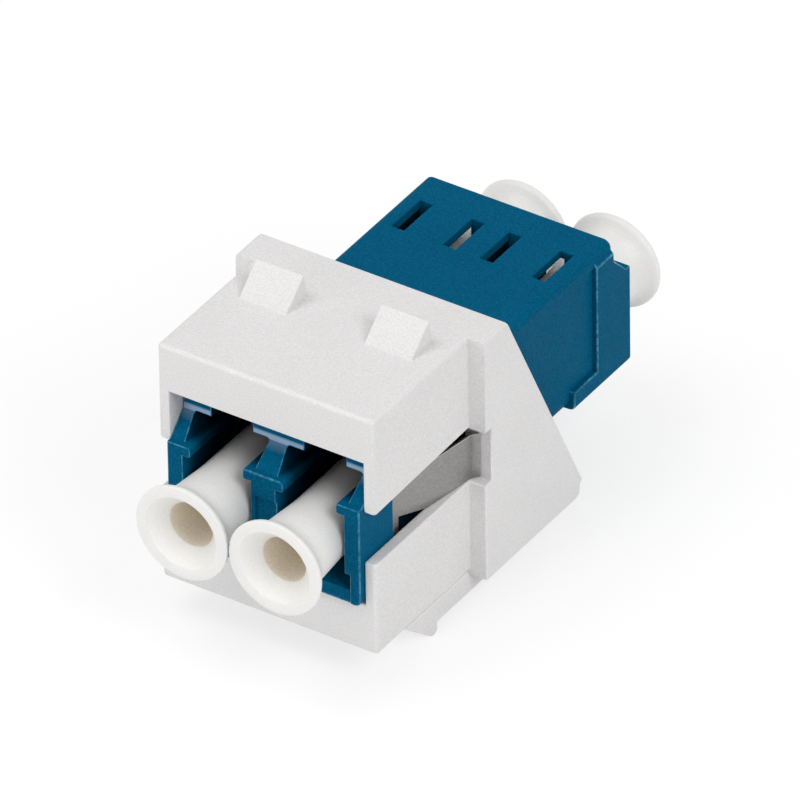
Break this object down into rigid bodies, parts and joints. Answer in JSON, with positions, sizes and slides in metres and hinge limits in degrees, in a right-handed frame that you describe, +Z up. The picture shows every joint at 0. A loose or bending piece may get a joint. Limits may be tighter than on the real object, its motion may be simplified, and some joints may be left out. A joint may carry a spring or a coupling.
{
  "type": "lc fibre adapter",
  "caption": "Duplex LC fibre adapter clipped into a snap-in keystone holder, with a pull-out dust cap in every port.",
  "frame": {"origin": "centre of the front face of the keystone nose", "axes": "+X to the right seen from the front, +Y from the front ports to the rear ports, +Z up, towards the two lugs"},
  "size_m": [0.0166, 0.0355, 0.0201],
  "materials": {
    "holder_plastic": "fine matt moulded",
    "adapter_plastic": "satin moulded",
    "zirconia": "polished ceramic",
    "spring_steel": "rolled",
    "cap_plastic": "soft satin"
  },
  "bodies": {
    "adapter_assembly": {"keystone_holder": "holder_plastic", "adapter_front_shell": "adapter_plastic", "adapter_rear_shell": "adapter_plastic", "alignment_sleeve_left": "zirconia", "alignment_sleeve_right": "zirconia", "spring_clip": "spring_steel"},
    "cap_front_left": {"dust_cap_front_left": "cap_plastic"},
    "cap_front_right": {"dust_cap_front_right": "cap_plastic"},
    "cap_rear_left": {"dust_cap_rear_left": "cap_plastic"},
    "cap_rear_right": {"dust_cap_rear_right": "cap_plastic"}
  },
  "joints": [
    {"name": "cap_front_left_pull", "type": "slide", "parent": "adapter_assembly", "child": "cap_front_left", "axis": [0, -1, 0], "range_m": [0, 0.03]},
    {"name": "cap_front_right_pull", "type": "slide", "parent": "adapter_assembly", "child": "cap_front_right", "axis": [0, -1, 0], "range_m": [0, 0.03]},
    {"name": "cap_rear_left_pull", "type": "slide", "parent": "adapter_assembly", "child": "cap_rear_left", "axis": [0, 1, 0], "range_m": [0, 0.03]},
    {"name": "cap_rear_right_pull", "type": "slide", "parent": "adapter_assembly", "child": "cap_rear_right", "axis": [0, 1, 0], "range_m": [0, 0.03]}
  ]
}
